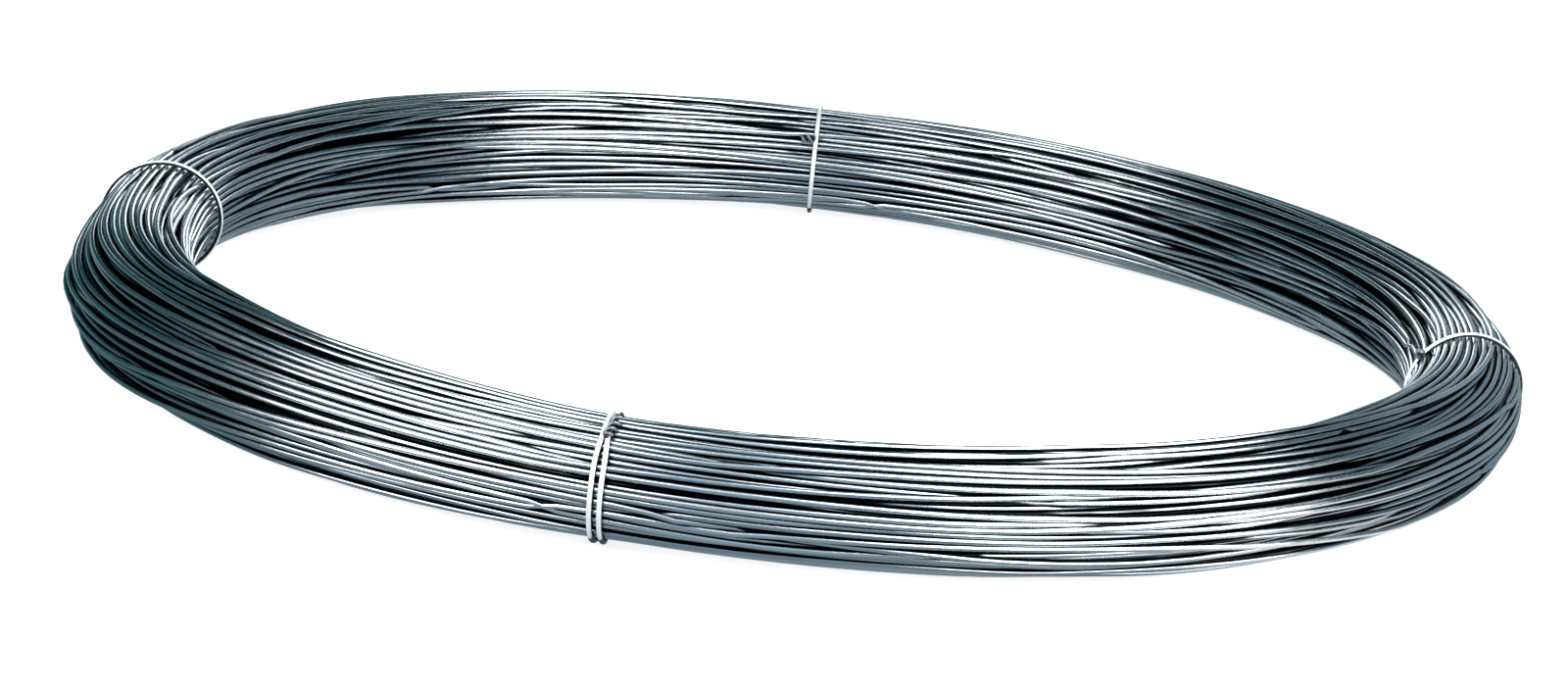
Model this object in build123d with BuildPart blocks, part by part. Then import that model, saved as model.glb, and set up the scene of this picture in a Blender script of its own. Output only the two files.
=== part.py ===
"""Coil of galvanised fence wire: one wound ring, lying flat, held by four twisted wire ties.

Millimetres, +Z up. The origin is on the coil's axis, at the level that the ties rest on.
Angles round the coil are counted from +X towards +Y. Angles round the bundle's section
are counted from its outer side, over the top.
"""
from build123d import *
from math import atan2, cos, degrees, pi, radians, sin, sqrt, tan
import os

# Wound coil
coil_outside_d = 650.0
bundle_w = 51.0
bundle_h = 49.5
wire_d = 2.5
turns_in_group = 3

# Tie wire
tie_wire_d = 2.2
seat_gap = 0.02
twist_length = 12.0
twist_lead = 7.2
twist_strand_gap = 0.04
twist_gap = 0.2
twist_lift = 0.4

# Sides of the tie wire as modelled, round a loop and along a twist
loop_sides = 8
twist_sides = 6
steps_per_lead = 6

# Where each tie crosses the coil, and how far it is slewed from square
front_tie_angle = 257.7
front_first_slew = -5.0
front_second_slew = 12.0
front_strand_step = 2.6
back_tie_angle = 89.0
back_tie_slew = 0.0
left_tie_angle = 169.4
left_tie_slew = 9.0
right_tie_angle = 356.6
right_tie_slew = 13.0

# Where each tie's twisted ends lie on the bundle's section
front_twist_at = 84.0
back_twist_at = 146.0
left_twist_at = 330.0
right_twist_at = 128.0

# Sizes that follow
coil_r = (coil_outside_d - bundle_w) / 2
half_w = bundle_w / 2
half_h = bundle_h / 2
groups_that_fit = pi * (half_w + half_h) / (turns_in_group * wire_d)
group_count = 4 * round((groups_that_fit - 2) / 4) + 2
group_step = 360 / group_count
loop_flat = tie_wire_d * tan(pi / loop_sides)
most_slew = max(abs(slew) for slew in (front_first_slew, front_second_slew, back_tie_slew,
                                       left_tie_slew, right_tie_slew))
tie_gap = seat_gap + loop_flat / 2 * sin(radians(most_slew))
axis_z = half_h * cos(radians(group_step / 2)) + tie_gap + tie_wire_d
helix_r = (tie_wire_d + twist_strand_gap) / 2 / cos(pi / steps_per_lead)
twist_r = helix_r + tie_wire_d / 2


def on_section(angle, inset=0.0):
    """A point on the bundle's oval, outwards and upwards from the middle of its section."""
    return (half_w - inset) * cos(radians(angle)), (half_h - inset) * sin(radians(angle))


def slewed_crests(slew):
    """The crests of the groups of turns, where an upright plane slewed across the coil cuts them."""
    points = []
    for group in range(group_count):
        outward, upward = on_section(group * group_step)
        across = sqrt((coil_r + outward)**2 - (coil_r * sin(radians(slew)))**2)
        points.append((across - coil_r * cos(radians(slew)), upward))
    return points


def tie_plane(angle, slew=0.0, step=0.0):
    """The upright plane of a tie: its x points out of the coil, and its y points up."""
    at, facing = radians(angle), radians(angle + slew)
    middle = Vector(coil_r * cos(at), coil_r * sin(at), axis_z)
    along = Vector(-sin(at), cos(at), 0)
    return Plane(origin=middle + along * step,
                 x_dir=(cos(facing), sin(facing), 0),
                 z_dir=(sin(facing), -cos(facing), 0))


def loop(plane, slew):
    """One turn of tie wire, pulled straight from crest to crest round the bundle."""
    with BuildSketch(plane) as middle:
        with BuildLine():
            Polyline(*slewed_crests(slew), close=True)
        make_face()
        offset(amount=tie_gap + tie_wire_d / 2, kind=Kind.INTERSECTION)
    path = middle.sketch.face().outer_wire()
    with BuildPart() as strand:
        with BuildSketch(Plane(origin=path @ 0, x_dir=plane.z_dir, z_dir=path % 0)):
            RegularPolygon(radius=tie_wire_d / 2, side_count=loop_sides,
                           major_radius=False, rotation=180 / loop_sides)
        sweep(path=path, transition=Transition.RIGHT)
    return strand.part


def twist(axis):
    """Two wire ends wound round each other: axis is the plane that the twist rises from."""
    step_count = round(twist_length / twist_lead * steps_per_lead)
    with BuildPart() as ends:
        for start in (0, 180):
            turns = [start + step * 360 / steps_per_lead for step in range(step_count + 1)]
            points = [(helix_r * cos(radians(turn)), helix_r * sin(radians(turn)),
                       step * twist_length / step_count) for step, turn in enumerate(turns)]
            with BuildLine(axis) as centre:
                Polyline(*points)
            with BuildSketch(Plane(origin=centre.line @ 0, z_dir=centre.line % 0)):
                RegularPolygon(radius=tie_wire_d / 2, side_count=twist_sides)
            sweep(path=centre.line, transition=Transition.RIGHT)
    return ends.part


def twist_seat(tie_angle, slew, section_angle):
    """Where a twist lies on a slewed loop: x points off the bundle, y round it, z along the turns."""
    outward, upward = on_section(section_angle)
    aside = atan2(outward * tan(radians(slew)), coil_r + outward)
    section = tie_plane(tie_angle + degrees(aside))
    seat = section.location * Pos(outward, upward) * Rot(Z=section_angle)
    return Plane(seat * Pos(X=twist_gap + twist_r))


def twist_along_coil(seat, towards):
    """A twist folded down beside its loop, along the turns: towards is 1 or -1."""
    run = seat.z_dir * -towards * twist_length + seat.x_dir * twist_lift
    return twist(Plane(origin=seat.origin, x_dir=seat.y_dir, z_dir=run))


def twist_along_tie(seat):
    """A twist folded down in line with its own loop."""
    return twist(Plane(origin=seat.origin - seat.y_dir * twist_length / 2, z_dir=seat.y_dir))


# The wound coil: its outer turns lie in groups, with gaps one wire deep between them.
# A gap is at the very bottom, so each tie has a level run there that it stands on.
with BuildPart() as wire_coil:
    with BuildSketch(Plane.XZ):
        section = []
        for group in range(group_count):
            crest_out, crest_up = on_section(group * group_step)
            groove_out, groove_up = on_section((group + 0.5) * group_step, wire_d)
            section.append((coil_r + crest_out, axis_z + crest_up))
            section.append((coil_r + groove_out, axis_z + groove_up))
        with BuildLine():
            Polyline(*section, close=True)
        make_face()
    revolve(axis=Axis.Z)

# The front tie goes round twice, and its two turns cross over and under the bundle
with BuildPart() as tie_front:
    half_step = front_strand_step / 2
    add(loop(tie_plane(front_tie_angle, front_first_slew, half_step), front_first_slew))
    add(loop(tie_plane(front_tie_angle, front_second_slew, -half_step), front_second_slew))
    add(twist_along_tie(twist_seat(front_tie_angle, 0, front_twist_at)))

with BuildPart() as tie_back:
    add(loop(tie_plane(back_tie_angle, back_tie_slew), back_tie_slew))
    add(twist_along_coil(twist_seat(back_tie_angle, back_tie_slew, back_twist_at), 1))

with BuildPart() as tie_left:
    add(loop(tie_plane(left_tie_angle, left_tie_slew), left_tie_slew))
    add(twist_along_coil(twist_seat(left_tie_angle, left_tie_slew, left_twist_at), -1))

with BuildPart() as tie_right:
    add(loop(tie_plane(right_tie_angle, right_tie_slew), right_tie_slew))
    add(twist_along_coil(twist_seat(right_tie_angle, right_tie_slew, right_twist_at), -1))

wire_coil.part.label = "wire_coil"
tie_front.part.label = "tie_front"
tie_back.part.label = "tie_back"
tie_left.part.label = "tie_left"
tie_right.part.label = "tie_right"

os.makedirs("parts", exist_ok=True)
for piece in (wire_coil, tie_front, tie_back, tie_left, tie_right):
    export_step(piece.part, f"parts/{piece.part.label}.step")
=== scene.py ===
"""A coil of galvanised fence wire: its wound turns as separate round wires, and its four wire ties.

Metres. Angles round the coil are counted from +X towards +Y. Angles round the bundle's
section are counted from its outer side, over the top. Both are in degrees where they are
written out as numbers.
"""
import math

import bmesh
import bpy
import numpy as np
from mathutils import Matrix, Vector


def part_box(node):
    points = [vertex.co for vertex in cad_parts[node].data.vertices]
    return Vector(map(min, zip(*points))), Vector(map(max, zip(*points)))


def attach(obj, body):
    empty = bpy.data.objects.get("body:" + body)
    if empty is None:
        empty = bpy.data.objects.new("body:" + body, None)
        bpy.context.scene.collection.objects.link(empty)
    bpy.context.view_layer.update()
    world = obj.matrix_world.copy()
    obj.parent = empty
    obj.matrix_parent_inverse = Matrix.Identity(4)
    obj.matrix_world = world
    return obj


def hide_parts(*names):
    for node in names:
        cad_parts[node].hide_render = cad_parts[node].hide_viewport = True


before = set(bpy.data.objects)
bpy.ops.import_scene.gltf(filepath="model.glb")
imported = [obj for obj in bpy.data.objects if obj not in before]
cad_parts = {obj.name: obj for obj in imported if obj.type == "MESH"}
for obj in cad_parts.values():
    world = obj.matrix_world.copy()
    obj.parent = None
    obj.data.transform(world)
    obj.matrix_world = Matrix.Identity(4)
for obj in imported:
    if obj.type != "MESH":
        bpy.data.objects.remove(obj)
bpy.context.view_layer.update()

MM = 0.001
winding_seed = 11
rng = np.random.default_rng(winding_seed)

# The coil, as packed
coil_low, coil_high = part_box("wire_coil")
bundle_w = 51.0 * MM
bundle_h = 49.5 * MM
coil_r = (coil_high.x - coil_low.x - bundle_w) / 2
axis_z = (coil_low.z + coil_high.z) / 2
half_w = bundle_w / 2
half_h = bundle_h / 2

# The wound wire: how deep its outer turns are laid and how many they are, how far they wander
# sideways, and how far apart the turns inside them run
wire_r = 1.25 * MM
laid_depth = 8.5 * MM
laid_count = 146
sideways_wander = 3.2 * MM
inner_pitch = 2.7 * MM

# Sides of the wound wire as modelled, and the stations round the ring that its turns pass
outer_sides = 8
inner_sides = 5
stations = 168
station_angles = np.arange(stations) * 2 * math.pi / stations

# The tie wire: its gap to the bundle, its sides as modelled, how far its twists rise in one
# turn, and how far over the bundle the outside of a loop and the axis of a twist lie
tie_wire_r = 1.1 * MM
tie_gap = 0.1 * MM
tie_sides = 10
twist_lead = 7.2 * MM
over_bundle = tie_gap + 2 * tie_wire_r

# Where the ties cross the coil, and how far each is slewed from square
front_tie, front_slew = 257.45, 5
back_tie, back_slew = 89.0, 0
left_tie, left_slew = 170.8, 15
right_tie, right_slew = 356.5, 21

# Where each tie's twisted ends lie on the bundle's section, and how long they are
front_twist_at, front_twist = 65, 13 * MM
back_twist_at, back_twist = 146, 7 * MM
left_twist_at, left_twist = 330, 12 * MM
right_twist_at, right_twist = 140, 6 * MM

# How the real ring departs from a true one: angle round the coil, then the share of its
# nominal section, then how far the bundle stands outwards, in millimetres
ring_shape = (
    (0, 1.0, 2.6),
    (18, 1.08, 3.8),
    (40, 1.12, 0.0),
    (62, 1.10, 0.0),
    (78, 1.04, 0.0),
    (89, 0.99, 0.0),
    (100, 1.05, 0.0),
    (120, 1.11, -0.5),
    (140, 1.07, -2.5),
    (155, 1.0, -5.5),
    (169, 0.985, -7.5),
    (179, 1.02, -10.0),
    (188, 1.05, -7.6),
    (197, 1.17, -3.4),
    (208, 1.24, 0.7),
    (222, 1.21, -1.0),
    (235, 1.16, -1.0),
    (250, 1.05, 0.0),
    (258, 0.99, 0.0),
    (266, 1.03, 0.0),
    (280, 1.07, 0.0),
    (302, 1.14, 0.0),
    (330, 1.08, 1.0),
    (345, 1.04, 2.4),
)

# Outer turns that stand off the bundle: the angle round the coil and the section angle where
# one does, how far along the coil it takes either way, and how far off, in millimetres
loose_turns = (
    (322, -38, 34, 3.4),
    (318, -52, 30, 2.4),
    (305, -66, 24, 1.8),
    (224, -44, 20, 1.4),
    (218, -30, 16, 1.4),
    (192, -4, 12, 1.8),
    (14, -20, 16, 1.6),
    (38, 74, 20, 1.0),
    (126, 82, 22, 1.2),
)


def round_the_ring(column):
    """One column of ring_shape, read at each station and smoothed."""
    smoothings = 6
    angles = np.radians([row[0] for row in ring_shape])
    values = np.array([row[column] for row in ring_shape])
    read = np.interp(station_angles, angles, values, period=2 * math.pi)
    for _ in range(smoothings):
        read = (np.roll(read, 1) + 2 * read + np.roll(read, -1)) / 4
    return read


section_share = round_the_ring(1)
stand_out = round_the_ring(2) * MM


def wander(reach):
    """Smooth periodic wandering of one turn as it goes round the coil."""
    most_waves = 5
    fading = 0.6
    swing = np.zeros(stations)
    for waves in range(1, most_waves + 1):
        size = rng.normal(0, reach / waves**fading)
        phase = rng.uniform(0, 2 * math.pi)
        swing += size * np.sin(waves * station_angles + phase)
    return swing


def laid_turns():
    """The outer turns, each laid on those before it. Returns their section angles and heights."""
    middle_r = (half_w + half_h - laid_depth) / 2
    spacing = 2 * wire_r
    golden = (math.sqrt(5) - 1) / 2
    straightenings = 30
    angles, heights = [], []
    for number in range(laid_count):
        angle = 2 * math.pi * golden * number + wander(sideways_wander) / middle_r
        rests_on = np.full(stations, wire_r)
        for other, height in zip(angles, heights):
            aside = ((angle - other + math.pi) % (2 * math.pi) - math.pi) * middle_r
            over = height + np.sqrt(np.clip(spacing**2 - aside**2, 0, None))
            rests_on = np.where(np.abs(aside) < spacing, np.maximum(rests_on, over), rests_on)
        height = rests_on
        for _ in range(straightenings):
            height = np.maximum(rests_on, (np.roll(height, 1) + np.roll(height, -1)) / 2)
        angles.append(angle)
        heights.append(height)
    return np.array(angles), np.array(heights)


def touching(places, reach):
    """Every two turns that lie within reach of each other at a station, as flat indices."""
    firsts, seconds = [], []
    for station in range(stations):
        here = places[:, station]
        apart = ((here[:, None] - here[None])**2).sum(-1)
        one, other = np.nonzero(np.triu(apart < reach**2, 1))
        firsts.append(one * stations + station)
        seconds.append(other * stations + station)
    return np.concatenate(firsts), np.concatenate(seconds)


def pushed_apart(places, pairs):
    """The turns after one push that moves overlapping ones off each other."""
    spacing = 2 * wire_r
    never_zero = 1e-9
    flat = places.reshape(-1, 2)
    one, other = pairs
    gap = flat[one] - flat[other]
    length = np.sqrt((gap**2).sum(1)) + never_zero
    push = gap * (np.clip(spacing - length, 0, None) / length * 0.5)[:, None]
    moved = np.stack([np.bincount(one, push[:, axis], len(flat))
                      - np.bincount(other, push[:, axis], len(flat)) for axis in (0, 1)], -1)
    overlaps = length < spacing
    hits = np.bincount(one, overlaps, len(flat)) + np.bincount(other, overlaps, len(flat))
    return (flat + moved / np.clip(hits / 2, 1, None)[:, None]).reshape(places.shape)


def kept_inside(places):
    """The turns after those outside the bundle, in its core or under the floor are brought back."""
    out = half_w * section_share - wire_r
    up = half_h * section_share - wire_r
    core = 1 - (laid_depth - wire_r) / (half_w - wire_r)
    share = np.sqrt((places[..., 0] / out)**2 + (places[..., 1] / up)**2)
    places = places * (np.clip(share, core, 1) / share)[..., None]
    places[..., 1] = np.maximum(places[..., 1], wire_r - axis_z)
    return places


def settled(angles, heights):
    """The laid turns' places in the section at each station, once they are drawn tight."""
    rounds = 110
    look_every = 8
    look_beyond = 1.0 * MM
    straightening = 0.3
    top_percentile = 98
    drawn = heights * (laid_depth - wire_r) / np.percentile(heights, top_percentile)
    share = 1 - (laid_depth - drawn) / half_w
    places = np.stack([half_w * share * np.cos(angles), half_h * share * np.sin(angles)], -1)
    places *= section_share[None, :, None]
    for step in range(rounds):
        if step % look_every == 0:
            pairs = touching(places, 2 * wire_r + look_beyond)
        beside = (np.roll(places, 1, 1) + np.roll(places, -1, 1)) / 2
        places = places + straightening * (beside - places)
        places = kept_inside(pushed_apart(places, pairs))
    return places


def core_turns():
    """The places of the turns inside, which run side by side in rings."""
    places = []
    inset = laid_depth + wire_r
    while inset < half_h - wire_r:
        out, up = half_w - inset, half_h - inset
        count = max(1, int(math.pi * (out + up) / inner_pitch))
        for angle in np.arange(count) * 2 * math.pi / count + inset / wire_r:
            places.append((out * math.cos(angle), up * math.sin(angle)))
        inset += inner_pitch
    return np.array(places)[:, None] * section_share[None, :, None]


def stood_off(places):
    """The turns after the loose ones are lifted off the bundle, each over its own stretch.

    The turn that is lifted is the outermost one near the section angle that is asked for.
    """
    degrees_for_depth = 60
    for at, section_angle, reach, off in loose_turns:
        station = int(at / 360 * stations)
        lies = np.degrees(np.arctan2(places[:, station, 1] / half_h, places[:, station, 0] / half_w))
        from_there = np.abs((lies - section_angle + 180) % 360 - 180)
        share = np.hypot(places[:, station, 0] / half_w, places[:, station, 1] / half_h)
        turn = np.argmin(from_there + degrees_for_depth * (share.max() - share))
        along = (np.degrees(station_angles) - at + 180) % 360 - 180
        window = np.cos(np.clip(along / reach, -1, 1) * math.pi / 2)**2
        outward = places[turn] / np.hypot(places[turn, :, 0], places[turn, :, 1])[:, None]
        places[turn] += outward * (window * off * MM)[:, None]
    places[..., 1] = np.maximum(places[..., 1], wire_r - axis_z)
    return places


def openness(places, sides):
    """How open each line of the turns' skin is to the light, from 0 to 1, at each station."""
    neighbours = 14
    looks = 13
    facing = np.arange(sides) * 2 * math.pi / sides
    skin = np.stack([np.cos(facing), np.sin(facing)], -1) * wire_r
    tilts = (np.arange(looks) + 0.5) / looks * math.pi - math.pi / 2
    looked = facing[:, None] + tilts
    weights = np.cos(tilts) / np.cos(tilts).sum()
    opened = np.empty((len(places), stations, sides))
    for station in range(stations):
        here = places[:, station]
        apart = ((here[:, None] - here[None])**2).sum(-1)
        nearest = np.argsort(apart, axis=1)[:, 1:neighbours + 1]
        gap = here[nearest][:, None] - here[:, None, None] - skin[None, :, None]
        distance = np.sqrt((gap**2).sum(-1))
        half_size = np.arcsin(np.clip(wire_r / distance, 0, 1))
        bearing = np.arctan2(gap[..., 1], gap[..., 0])
        off = np.abs((looked[None, :, None] - bearing[..., None] + math.pi) % (2 * math.pi) - math.pi)
        hidden = (off < half_size[..., None]).any(axis=2)
        opened[:, station] = ((~hidden) * weights).sum(-1)
    return opened


def tube_template(sides, steps, round_r):
    """A ring-shaped tube of radius 1 on a circle of radius round_r, as a mesh."""
    upright = Matrix.Translation((round_r, 0, 0)) @ Matrix.Rotation(math.pi / 2, 4, "X")
    bm = bmesh.new()
    bmesh.ops.create_circle(bm, segments=sides, radius=1, matrix=upright)
    bmesh.ops.spin(bm, geom=bm.verts[:] + bm.edges[:], cent=(0, 0, 0), axis=(0, 0, 1),
                   angle=2 * math.pi, steps=steps, use_merge=True)
    bmesh.ops.recalc_face_normals(bm, faces=bm.faces)
    mesh = bpy.data.meshes.new("tube_template")
    bm.to_mesh(mesh)
    bm.free()
    return mesh


def coordinates(mesh):
    """A mesh's vertices as an array."""
    flat = np.empty(len(mesh.vertices) * 3, np.float32)
    mesh.vertices.foreach_get("co", flat)
    return flat.reshape(-1, 3).astype(float)


def vector_attribute(mesh, name, values):
    """Keeps one vector for each vertex of a mesh, for its material to read."""
    kept = mesh.attributes.new(name, "FLOAT_VECTOR", "POINT")
    kept.data.foreach_set("vector", values.reshape(-1))


def shown_piece(name, mesh):
    """A smooth mesh as a piece of the scene."""
    mesh.polygons.foreach_set("use_smooth", [True] * len(mesh.polygons))
    mesh.update()
    piece = bpy.data.objects.new(name, mesh)
    bpy.context.scene.collection.objects.link(piece)
    return piece


def wound_wires(name, paths, tones, opened):
    """Closed turns of round wire along these paths, which have one point for each station."""
    round_r = 10
    shift_to_next = 0.37
    count, steps, sides = opened.shape
    template = tube_template(sides, steps, round_r)
    around = coordinates(template)
    station = np.round(np.arctan2(around[:, 1], around[:, 0]) / (2 * math.pi) * steps)
    station = station.astype(int) % steps
    facing = np.arctan2(around[:, 2], np.hypot(around[:, 0], around[:, 1]) - round_r)
    side = np.round(facing / (2 * math.pi) * sides).astype(int) % sides
    bm = bmesh.new()
    for _ in paths:
        bm.from_mesh(template)
    mesh = bpy.data.meshes.new(name)
    bm.to_mesh(mesh)
    bm.free()
    bpy.data.meshes.remove(template)

    angle = station * 2 * math.pi / steps
    outward = np.stack([np.cos(angle), np.sin(angle), np.zeros_like(angle)], -1)
    upward = np.array([0.0, 0.0, 1.0])
    skin = (np.cos(facing)[:, None] * outward + np.sin(facing)[:, None] * upward) * wire_r
    points = paths[:, station] + skin[None]
    mesh.vertices.foreach_set("co", points.reshape(-1).astype(np.float32))

    # The zinc's pattern runs with the wire, and is another one on each turn
    ring = np.empty((count, len(around), 3), np.float32)
    ring[..., 0] = np.cos(angle) * coil_r
    ring[..., 1] = np.sin(angle) * coil_r
    ring[..., 2] = np.arange(count)[:, None] * shift_to_next
    vector_attribute(mesh, "along_wire", ring)
    # The lie's X is how open each line of skin is to the light, which the material paints as shade where
    # it is low; its Y is each turn's own tone
    lie = np.zeros((count, len(around), 3), np.float32)
    lie[..., 0] = opened[:, station, side]
    lie[..., 1] = tones[:, None]
    vector_attribute(mesh, "lie", lie)
    return shown_piece(name, mesh)


def ring_paths(places, angles, out):
    """Places in the section, turned into points round the coil."""
    radius = coil_r + out[None] + places[..., 0]
    return np.stack([radius * np.cos(angles), radius * np.sin(angles), axis_z + places[..., 1]], -1)


# The outer turns are three pieces, from the outside in. The inner ones pass every other station.
places = stood_off(settled(*laid_turns()))
opened = openness(places, outer_sides)
tones = rng.uniform(0, 1, laid_count)
shares = np.hypot(places[..., 0] / half_w, places[..., 1] / half_h).mean(1)
outer_pieces = ("outer_turns", "second_turns", "third_turns")
wires = []
for name, chosen in zip(outer_pieces, np.array_split(np.argsort(-shares), len(outer_pieces))):
    paths = ring_paths(places[chosen], station_angles, stand_out)
    wires.append(wound_wires(name, paths, tones[chosen], opened[chosen]))

core = core_turns()
every_other = slice(0, stations, 2)
paths = ring_paths(core[:, every_other], station_angles[every_other], stand_out[every_other])
# The inner turns are given no openness, so they are painted in shade all over
hidden = np.zeros((*paths.shape[:2], inner_sides))
wires.append(wound_wires("inner_turns", paths, np.zeros(len(core)), hidden))


def tie_plane(angle, slew):
    """The upright plane of a tie: its x points out of the coil, and its y points up."""
    at, facing = math.radians(angle), math.radians(angle + slew)
    radius = coil_r + np.interp(at, station_angles, stand_out, period=2 * math.pi)
    middle = Vector((radius * math.cos(at), radius * math.sin(at), axis_z))
    out = Vector((math.cos(facing), math.sin(facing), 0))
    up = Vector((0, 0, 1))
    turn = Matrix((out, up, out.cross(up))).transposed().to_4x4()
    return Matrix.Translation(middle) @ turn


def smooth_step(none_at, full_at, value):
    """0 at none_at and before it, 1 at full_at and past it, and an easy curve between them."""
    share = min(1.0, max(0.0, (value - none_at) / (full_at - none_at)))
    return share * share * (3 - 2 * share)


def tie_loop(bm, angle, slew, beside=0):
    """One turn of tie wire, pulled tight round the bundle. Beside is 1 or -1 for one strand of two.

    The loop has shade painted on it where it faces the bundle or the floor. Two strands part on the
    outer side of the bundle, and lie together on the rest of it.
    """
    loop_steps = 72
    strands_part = 0.95 * MM
    joined_above, apart_below = 62, 26
    joined_below, apart_above = -105, -75
    dark_below, clear_above = -0.3 * tie_wire_r, 0.9 * tie_wire_r
    dark_within, clear_beyond = 28, 45
    loop_r = half_w + tie_gap + tie_wire_r
    upright = Matrix.Translation((loop_r, 0, 0)) @ Matrix.Rotation(math.pi / 2, 4, "X")
    made = bmesh.ops.create_circle(bm, segments=tie_sides, radius=tie_wire_r, matrix=upright)
    rim = made["verts"]
    edges = {edge for vert in rim for edge in vert.link_edges}
    before = set(bm.verts)
    bmesh.ops.spin(bm, geom=rim + list(edges), cent=(0, 0, 0), axis=(0, 0, 1),
                   angle=2 * math.pi, steps=loop_steps, use_merge=True)
    loop = rim + [vert for vert in bm.verts if vert not in before]
    lie = bm.verts.layers.float_vector["lie"]
    for vert in loop:
        from_outside = math.degrees(math.atan2(vert.co.y, vert.co.x))
        from_floor = abs((from_outside + 270) % 360 - 180)
        above_middle = math.hypot(vert.co.x, vert.co.y) - loop_r
        parted = (smooth_step(joined_above, apart_below, from_outside)
                  * smooth_step(joined_below, apart_above, from_outside))
        vert.co.z += beside * (tie_wire_r + strands_part * parted)
        # Painted shade: the loop's colour darkens where it faces in towards the bundle and where it
        # faces down to the floor
        opened = (smooth_step(dark_below, clear_above, above_middle)
                  * smooth_step(dark_within, clear_beyond, from_floor))
        vert[lie] = (opened, 0, 0)
    wider = 1 / math.sqrt(math.cos(math.radians(slew)))
    lower = (half_h + over_bundle) / (half_w + over_bundle)
    bmesh.ops.scale(bm, vec=(wider, lower, 1), verts=loop)
    bmesh.ops.transform(bm, matrix=tie_plane(angle, slew), verts=loop)


def twist(bm, seat, length):
    """Two wire ends wound round each other: seat turns and places a twist that rises along z."""
    steps_to_a_lead = 16
    strands_clear = 1.02
    steps = int(length / twist_lead * steps_to_a_lead)
    lie = bm.verts.layers.float_vector["lie"]
    for side in (0, math.pi):
        start = Matrix.Rotation(side, 4, "Z") @ Matrix.Translation((tie_wire_r * strands_clear, 0, 0))
        made = bmesh.ops.create_circle(bm, cap_ends=True, segments=tie_sides, radius=tie_wire_r,
                                       matrix=start)
        rim = made["verts"]
        faces = {face for vert in rim for face in vert.link_faces}
        before = set(bm.verts)
        bmesh.ops.spin(bm, geom=list(faces), cent=(0, 0, 0), axis=(0, 0, 1), steps=steps,
                       dvec=(0, 0, length / steps), angle=2 * math.pi * length / twist_lead)
        strand = rim + [vert for vert in bm.verts if vert not in before]
        # Painted shade: the strands are darker towards the twist's axis, where they lie against each
        # other; their dull tone is their own
        for vert in strand:
            vert[lie] = ((math.hypot(vert.co.x, vert.co.y) / (2 * tie_wire_r))**2, 1, 0)
        bmesh.ops.transform(bm, matrix=seat, verts=strand)


def twist_seat(angle, slew, section_angle):
    """Where a twist lies on a tie: x points off the bundle, y round it, z along the turns."""
    turn = math.radians(section_angle)
    out, up = half_w * math.cos(turn), half_h * math.sin(turn)
    aside = math.degrees(math.atan2(out * math.tan(math.radians(slew)), coil_r + out))
    seat = tie_plane(angle + aside, 0) @ Matrix.Translation((out, up, 0)) @ Matrix.Rotation(turn, 4, "Z")
    return seat @ Matrix.Translation((over_bundle, 0, 0))


def new_tie():
    """An empty mesh to make a tie in, which keeps how open to the light and how dull it is."""
    bm = bmesh.new()
    bm.verts.layers.float_vector.new("lie")
    return bm


def tie_piece(name, bm):
    """Finishes a tie's mesh as a piece of the scene."""
    bmesh.ops.recalc_face_normals(bm, faces=bm.faces)
    mesh = bpy.data.meshes.new(name)
    bm.to_mesh(mesh)
    bm.free()
    return shown_piece(name, mesh)


def double_tie(name, angle, slew, twist_at, length):
    """A tie of two strands, with its twisted ends folded down along them."""
    degrees_beyond = 0.4
    folded_down = math.radians(-98)
    bm = new_tie()
    tie_loop(bm, angle, slew, 1)
    tie_loop(bm, angle, slew, -1)
    band = twist_seat(angle + degrees_beyond, slew, twist_at) @ Matrix.Rotation(folded_down, 4, "X")
    twist(bm, band @ Matrix.Translation((0, 0, -length / 2)), length)
    return tie_piece(name, bm)


def single_tie(name, angle, slew, twist_at, length, turned_over=False):
    """A tie of one strand, with its twisted ends along the turns, or the other way if turned over."""
    seat = twist_seat(angle, slew, twist_at)
    if turned_over:
        seat = seat @ Matrix.Rotation(math.pi, 4, "X")
    bm = new_tie()
    tie_loop(bm, angle, slew)
    twist(bm, seat, length)
    return tie_piece(name, bm)


front_piece = double_tie("front_tie", front_tie, front_slew, front_twist_at, front_twist)
back_piece = single_tie("back_tie", back_tie, back_slew, back_twist_at, back_twist, turned_over=True)
left_piece = single_tie("left_tie", left_tie, left_slew, left_twist_at, left_twist)
right_piece = single_tie("right_tie", right_tie, right_slew, right_twist_at, right_twist)


def node(tree, kind, values=(), **settings):
    """A new node with these settings, and these values in its input sockets."""
    made = tree.nodes.new(kind)
    for setting, value in settings.items():
        setattr(made, setting, value)
    for socket, value in dict(values).items():
        if isinstance(value, bpy.types.NodeSocket):
            tree.links.new(value, made.inputs[socket])
        else:
            made.inputs[socket].default_value = value
    return made


def mixed(tree, share, first, second):
    """The colour that is this share of the way from the first to the second."""
    made = node(tree, "ShaderNodeMix", {0: share, 6: first, 7: second}, data_type="RGBA")
    return made.outputs[2]


def effect(name, inputs, outputs):
    """A new node group with these sockets, and its input and output nodes."""
    tree = bpy.data.node_groups.new(name, "ShaderNodeTree")
    for socket, (kind, value) in inputs.items():
        made = tree.interface.new_socket(socket, in_out="INPUT", socket_type=kind)
        made.default_value = value
    for socket, kind in outputs.items():
        tree.interface.new_socket(socket, in_out="OUTPUT", socket_type=kind)
    return tree, tree.nodes.new("NodeGroupInput"), tree.nodes.new("NodeGroupOutput")


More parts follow.
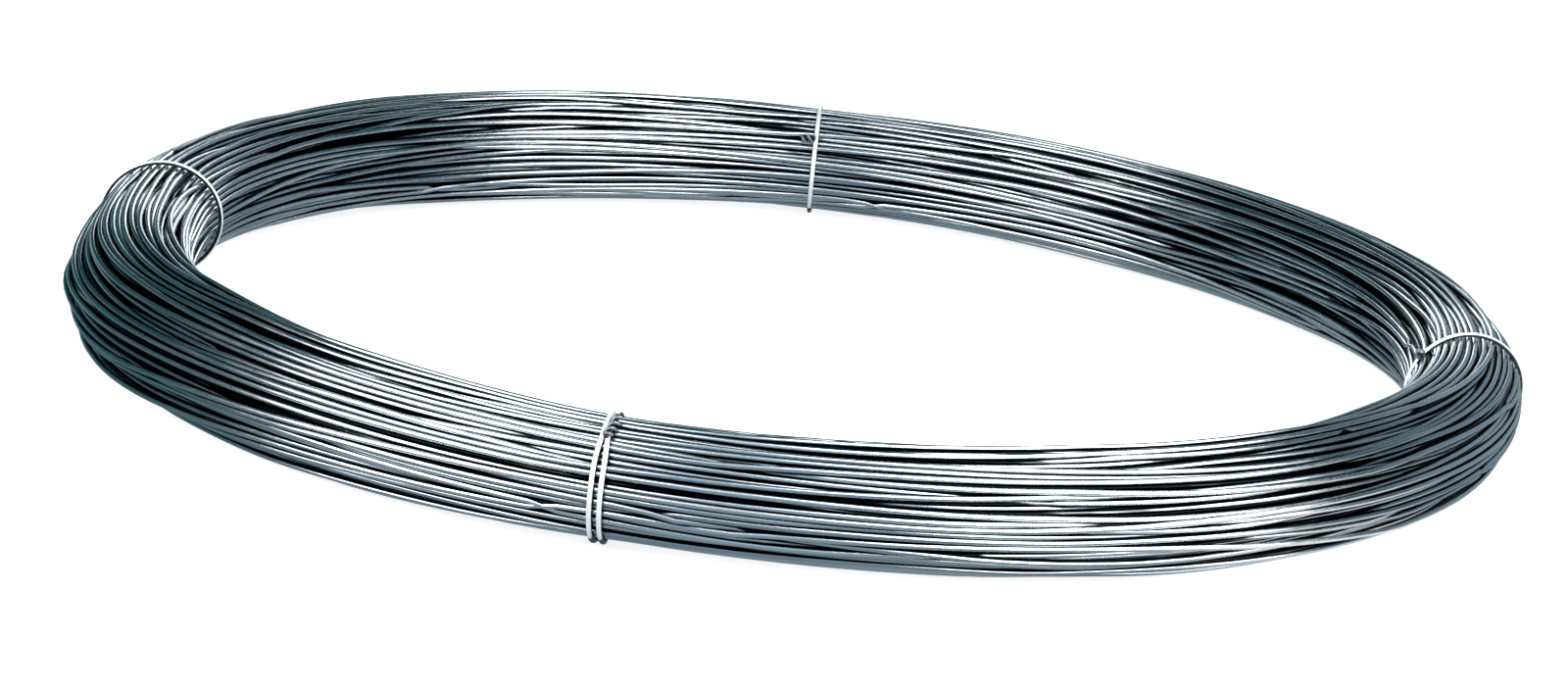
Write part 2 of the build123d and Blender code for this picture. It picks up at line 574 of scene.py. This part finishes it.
def zinc_and_painted_shade():
    """Zinc that is patchy along the wire and a little uneven, with shade painted in between the turns,
    where the wire is hidden from the light.
    """
    patch_scale, ripple_scale = 14.0, 36.0
    bright_at, dull_at = 0.55, 1.35
    dark_at, clear_at = 0.44, 0.72
    smoothest, roughest = -0.08, 0.12
    tree, given, result = effect(
        "zinc_and_painted_shade",
        {"Along": ("NodeSocketVector", (0, 0, 0)), "Open": ("NodeSocketFloat", 1.0),
         "Tone": ("NodeSocketFloat", 0.5), "Bright": ("NodeSocketColor", (1, 1, 1, 1)),
         "Dull": ("NodeSocketColor", (0.5, 0.5, 0.5, 1)), "PaintedShade": ("NodeSocketColor", (0, 0, 0, 1)),
         "Roughness": ("NodeSocketFloat", 0.3)},
        {"Color": "NodeSocketColor", "Roughness": "NodeSocketFloat", "Height": "NodeSocketFloat"})
    along = given.outputs["Along"]
    patches = node(tree, "ShaderNodeTexNoise", {"Vector": along, "Scale": patch_scale, "Detail": 3.0})
    ripples = node(tree, "ShaderNodeTexNoise", {"Vector": along, "Scale": ripple_scale, "Detail": 2.0})
    worn = node(tree, "ShaderNodeMath", {0: patches.outputs["Fac"], 1: given.outputs["Tone"]},
                operation="ADD")
    worn = node(tree, "ShaderNodeMapRange",
                {"Value": worn.outputs[0], "From Min": bright_at, "From Max": dull_at})
    skin = mixed(tree, worn.outputs[0], given.outputs["Bright"], given.outputs["Dull"])
    # Painted shade: where the skin is little open to the light, between and under the turns, its colour
    # goes to the near-black shade colour
    clear = node(tree, "ShaderNodeMapRange",
                 {"Value": given.outputs["Open"], "From Min": dark_at, "From Max": clear_at},
                 interpolation_type="SMOOTHSTEP")
    colour = mixed(tree, clear.outputs[0], given.outputs["PaintedShade"], skin)
    rough = node(tree, "ShaderNodeMapRange",
                 {"Value": ripples.outputs["Fac"], "To Min": smoothest, "To Max": roughest})
    rough = node(tree, "ShaderNodeMath", {0: rough.outputs[0], 1: given.outputs["Roughness"]},
                 operation="ADD")
    tree.links.new(colour, result.inputs["Color"])
    tree.links.new(rough.outputs[0], result.inputs["Roughness"])
    tree.links.new(ripples.outputs["Fac"], result.inputs["Height"])
    return tree


def material(name):
    """A new material, its node tree and its Principled BSDF."""
    made = bpy.data.materials.new(name)
    made.use_nodes = True
    tree = made.node_tree
    return made, tree, tree.nodes["Principled BSDF"]


def galvanised(name, coat, bright, dull, painted_shade, roughness, bump, metal):
    """Drawn steel wire with a hot-dipped zinc coat, and shade painted where it is hidden from the light.
    Returns the material, its tree and its coat.
    """
    made, tree, shader = material(name)
    shader.inputs["Metallic"].default_value = metal
    lie = node(tree, "ShaderNodeAttribute", attribute_name="lie")
    parts = node(tree, "ShaderNodeSeparateXYZ", {"Vector": lie.outputs["Vector"]})
    zinc = node(tree, "ShaderNodeGroup", node_tree=coat)
    for socket, colour in (("Bright", bright), ("Dull", dull), ("PaintedShade", painted_shade)):
        zinc.inputs[socket].default_value = (*colour, 1)
    zinc.inputs["Roughness"].default_value = roughness
    tree.links.new(parts.outputs["X"], zinc.inputs["Open"])
    tree.links.new(parts.outputs["Y"], zinc.inputs["Tone"])
    tree.links.new(zinc.outputs["Color"], shader.inputs["Base Color"])
    tree.links.new(zinc.outputs["Roughness"], shader.inputs["Roughness"])
    raised = node(tree, "ShaderNodeBump",
                  {"Strength": 1.0, "Distance": bump, "Height": zinc.outputs["Height"]})
    tree.links.new(raised.outputs["Normal"], shader.inputs["Normal"])
    return made, tree, zinc


coat = zinc_and_painted_shade()
# The near-black colour after the dull one is painted shade, for the wire where it is hidden from the
# light between the turns
fence_wire, tree, zinc = galvanised(
    "fence_wire", coat, bright=(0.74, 0.76, 0.78), dull=(0.47, 0.52, 0.56),
    painted_shade=(0.003, 0.006, 0.008), roughness=0.2, bump=0.45 * MM, metal=1.0)
along = node(tree, "ShaderNodeAttribute", attribute_name="along_wire")
tree.links.new(along.outputs["Vector"], zinc.inputs["Along"])

# The near-black colour after the dull one is painted shade, where the tie faces the bundle, the floor or
# the middle of its twist
tie_wire, tree, zinc = galvanised(
    "tie_wire", coat, bright=(0.9, 0.91, 0.92), dull=(0.16, 0.18, 0.2),
    painted_shade=(0.01, 0.014, 0.018), roughness=0.32, bump=0.05 * MM, metal=0.6)
place = node(tree, "ShaderNodeTexCoord")
tree.links.new(place.outputs["Object"], zinc.inputs["Along"])

for piece in wires:
    piece.data.materials.append(fence_wire)
    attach(piece, "root")
    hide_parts("wire_coil")
for piece, cad_tie in ((front_piece, "tie_front"), (back_piece, "tie_back"),
                       (left_piece, "tie_left"), (right_piece, "tie_right")):
    piece.data.materials.append(tie_wire)
    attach(piece, "root")
    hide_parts(cad_tie)


def seen(tree):
    """1 for what the camera, a reflection or clear glass sees, and 0 for the light that things get."""
    ray = node(tree, "ShaderNodeLightPath")
    mirrored = node(tree, "ShaderNodeMath", {0: ray.outputs["Is Glossy Ray"],
                                             1: ray.outputs["Is Transmission Ray"]}, operation="MAXIMUM")
    either = node(tree, "ShaderNodeMath", {0: ray.outputs["Is Camera Ray"], 1: mirrored.outputs[0]},
                  operation="MAXIMUM")
    return either.outputs[0]


def stage_plane(name, size, height):
    """A level square of the stage."""
    bpy.ops.mesh.primitive_plane_add(size=size, location=(0, 0, height))
    made = bpy.context.object
    made.name = name
    return made


def stage_dome(name, radius):
    """A ball of the stage round the coil, which faces inwards."""
    bm = bmesh.new()
    bmesh.ops.create_icosphere(bm, subdivisions=4, radius=radius)
    bmesh.ops.reverse_faces(bm, faces=bm.faces)
    mesh = bpy.data.meshes.new(name)
    bm.to_mesh(mesh)
    bm.free()
    dome = bpy.data.objects.new(name, mesh)
    bpy.context.scene.collection.objects.link(dome)
    return dome


def pale_floor(grey, glow):
    """A floor that shows as white and keeps shadows, and gives the coil a grey floor's light."""
    made, tree, shader = material("pale_floor")
    shader.inputs["Base Color"].default_value = (grey, grey, grey, 1)
    shader.inputs["Roughness"].default_value = 1.0
    shader.inputs["Specular IOR Level"].default_value = 0.0
    shader.inputs["Emission Color"].default_value = (1, 1, 1, 1)
    lift = node(tree, "ShaderNodeMath", {0: seen(tree), 1: glow}, operation="MULTIPLY")
    tree.links.new(lift.outputs[0], shader.inputs["Emission Strength"])
    return made


def studio_world(light):
    """A world that shows as white, and lights the coil at this level."""
    world = bpy.data.worlds.new("studio")
    bpy.context.scene.world = world
    world.use_nodes = True
    tree = world.node_tree
    strength = node(tree, "ShaderNodeMapRange", {"Value": seen(tree), "To Min": light, "To Max": 1.0})
    tree.links.new(strength.outputs["Result"], tree.nodes["Background"].inputs["Strength"])
    tree.nodes["Background"].inputs["Color"].default_value = (1, 1, 1, 1)


def backdrop(name, colour, sides):
    """Cloth of one colour, but for its sides: the way to each, the cosine of its reach, its colour."""
    made, tree, shader = material(name)
    shader.inputs["Base Color"].default_value = (0, 0, 0, 1)
    shader.inputs["Specular IOR Level"].default_value = 0.0
    shader.inputs["Emission Strength"].default_value = 1.0
    place = node(tree, "ShaderNodeTexCoord")
    way = node(tree, "ShaderNodeVectorMath", {0: place.outputs["Object"]}, operation="NORMALIZE")
    shown = (*colour, 1)
    for towards, reach, side_colour in sides:
        near = node(tree, "ShaderNodeVectorMath", {0: way.outputs["Vector"], 1: towards},
                    operation="DOT_PRODUCT")
        share = node(tree, "ShaderNodeMapRange", {"Value": near.outputs["Value"], "From Min": reach},
                     interpolation_type="SMOOTHSTEP")
        shown = mixed(tree, share.outputs[0], shown, (*side_colour, 1))
    tree.links.new(shown, shader.inputs["Emission Color"])
    return made


def hang(cloth, cloth_material):
    """Dresses a stage piece as a cloth for reflections alone, which all other light passes."""
    cloth.data.materials.append(cloth_material)
    cloth.visible_camera = False
    cloth.visible_shadow = False
    cloth.visible_diffuse = False
    cloth.visible_transmission = False


def softbox(name, azimuth, elevation, distance, size, brightness, colour):
    """A rectangular soft light that faces the coil, and looks this bright in it."""
    lamp = bpy.data.lights.new(name, "AREA")
    lamp.shape = "RECTANGLE"
    lamp.size, lamp.size_y = size
    lamp.color = colour
    lamp.energy = brightness * math.pi * size[0] * size[1]
    turn, rise = math.radians(azimuth), math.radians(elevation)
    away = Vector((math.sin(turn) * math.cos(rise), -math.cos(turn) * math.cos(rise), math.sin(rise)))
    lit = bpy.data.objects.new(name, lamp)
    lit.location = away * distance
    lit.rotation_euler = away.to_track_quat("Z", "Y").to_euler()
    bpy.context.scene.collection.objects.link(lit)


floor = stage_plane("floor", size=14, height=-1.0 * MM)
floor.data.materials.append(pale_floor(grey=0.5, glow=0.79))
studio_world(light=0.45)

# Dark cloths above and below the coil, out of the camera's sight, which its wires mirror. The
# dome is paler behind at the right and in front, and the table cloth is darker at the left
# end of the coil and nearly white at its front right.
dome_cloth = backdrop("dome_cloth", (0.01, 0.075, 0.09), (
    ((0.62, 0.78, 0.1), 0.75, (0.22, 0.3, 0.36)),
    ((0.0, -0.92, 0.4), 0.85, (0.38, 0.6, 0.78)),
))
hang(stage_dome("dark_dome", radius=3.0), dome_cloth)
table_cloth = backdrop("table_cloth", (0.25, 0.33, 0.37), (
    ((-0.94, -0.34, 0.0), 0.8, (0.06, 0.13, 0.15)),
    ((0.75, -0.66, 0.0), 0.93, (0.95, 0.98, 1.0)),
))
hang(stage_plane("table_cloth", size=5.5, height=-0.5 * MM), table_cloth)

# Azimuths of the lamps are counted from the camera's side, towards +X
white = (1, 1, 1)
cool = (0.78, 0.95, 1.0)
for name, azimuth, elevation, distance, size, brightness, colour in (
        ("left_softbox", -50, 30, 1.7, (1.36, 1.7), 6.5, white),
        ("right_softbox", 45, 35, 0.8, (0.76, 1.1), 6.5, white),
        ("top_softbox", 0, 62, 1.8, (1.3, 1.2), 0.6, white),
        ("back_softbox", 180, 11, 1.7, (0.8, 0.9), 1.0, white),
        ("ridge_softbox", 180, 15.5, 1.7, (0.36, 0.3), 4.0, cool)):
    softbox(name, azimuth, elevation, distance, size, brightness, colour)

# The photograph's view: its lens, its rise above the level of the coil, its tilt to one side,
# how far off it is, and where the middle of the ring lies from the middle of the picture
photo_w = 1600
lens_px = 6200
camera_rise = math.radians(15.0)
camera_roll = math.radians(-5.97)
camera_distance = 9.061 * coil_r
ring_at_px = (4.5, 36.4)

back = Vector((0, -math.cos(camera_rise), math.sin(camera_rise)))
up = Vector((0, math.sin(camera_rise), math.cos(camera_rise)))
right = Vector((1, 0, 0))
camera_right = math.cos(camera_roll) * right - math.sin(camera_roll) * up
camera_up = math.sin(camera_roll) * right + math.cos(camera_roll) * up
aside, above = (px / lens_px * camera_distance for px in ring_at_px)
stand = Vector((0, 0, axis_z)) + back * camera_distance - camera_right * aside - camera_up * above
turned = Matrix((camera_right, camera_up, back)).transposed().to_4x4()

lens = bpy.data.cameras.new("photo_camera")
lens.sensor_width = 36
lens.lens = lens_px / photo_w * lens.sensor_width
camera = bpy.data.objects.new("photo_camera", lens)
camera.matrix_world = Matrix.Translation(stand) @ turned
bpy.context.scene.collection.objects.link(camera)
bpy.context.scene.camera = camera
bpy.context.scene.view_settings.view_transform = "Standard"
